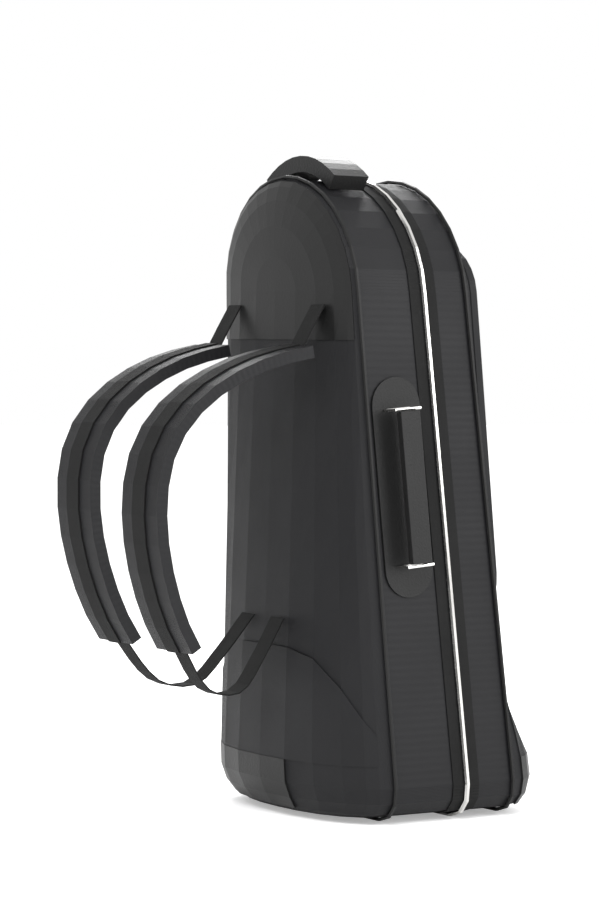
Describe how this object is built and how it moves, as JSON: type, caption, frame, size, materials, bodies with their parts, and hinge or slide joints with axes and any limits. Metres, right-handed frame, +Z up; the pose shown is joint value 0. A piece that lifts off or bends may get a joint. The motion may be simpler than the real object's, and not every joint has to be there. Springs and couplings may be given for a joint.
{
  "type": "instrument case",
  "caption": "Tall padded backpack case for a baritone horn, with zipped lid, front pocket, handles and shoulder straps.",
  "frame": {"origin": "centre of the strap-side shell's flat underside, 45 mm behind the zip line", "axes": "+Z up, -Y towards the strap face, +Y towards the pocket, +X towards the side handle"},
  "size_m": [0.3308, 0.5102, 0.7338],
  "materials": {
    "nylon": "satin nylon",
    "leather": "grained",
    "smooth": "smooth",
    "webbing": "ribbed",
    "tape": "woven",
    "piping": "satin",
    "nickel": "bright"
  },
  "bodies": {
    "case": {"rear_shell": "nylon", "rear_bell_panel": "nylon", "strap_pad_left": "nylon", "strap_pad_right": "nylon", "rear_bell_guard": "leather", "side_handle": "leather", "side_handle_patch": "leather", "top_handle": "leather", "rear_yoke_panel": "smooth", "strap_pad_webbing_left": "webbing", "strap_pad_webbing_right": "webbing", "strap_upper_webbing_left": "webbing", "strap_upper_webbing_right": "webbing", "strap_lower_webbing_left": "webbing", "strap_lower_webbing_right": "webbing", "rear_zip_tape": "tape", "rear_piping": "piping", "foot_rear_left": "nickel", "foot_rear_right": "nickel", "side_ring_lower": "nickel", "side_ring_upper": "nickel", "zip_chain": "nickel"},
    "lid": {"lid_shell": "nylon", "lid_bell_panel": "nylon", "lid_bell_guard": "leather", "lid_zip_tape": "tape", "lid_piping": "piping", "foot_front_left": "nickel", "foot_front_right": "nickel", "pocket_gusset": "nylon"},
    "pocket_cover": {"pocket_cover": "nylon"}
  },
  "joints": [
    {"name": "lid_hinge", "type": "hinge", "parent": "case", "child": "lid", "pos_m": [-0.1582, 0.045, 0], "axis": [0.0432, -0.0952, 0.9945], "range_deg": [0, 100]},
    {"name": "pocket_cover_hinge", "type": "hinge", "parent": "lid", "child": "pocket_cover", "pos_m": [0, 0.10631, 0.20909], "axis": [-1, 0, 0], "range_deg": [0, 75]}
  ]
}
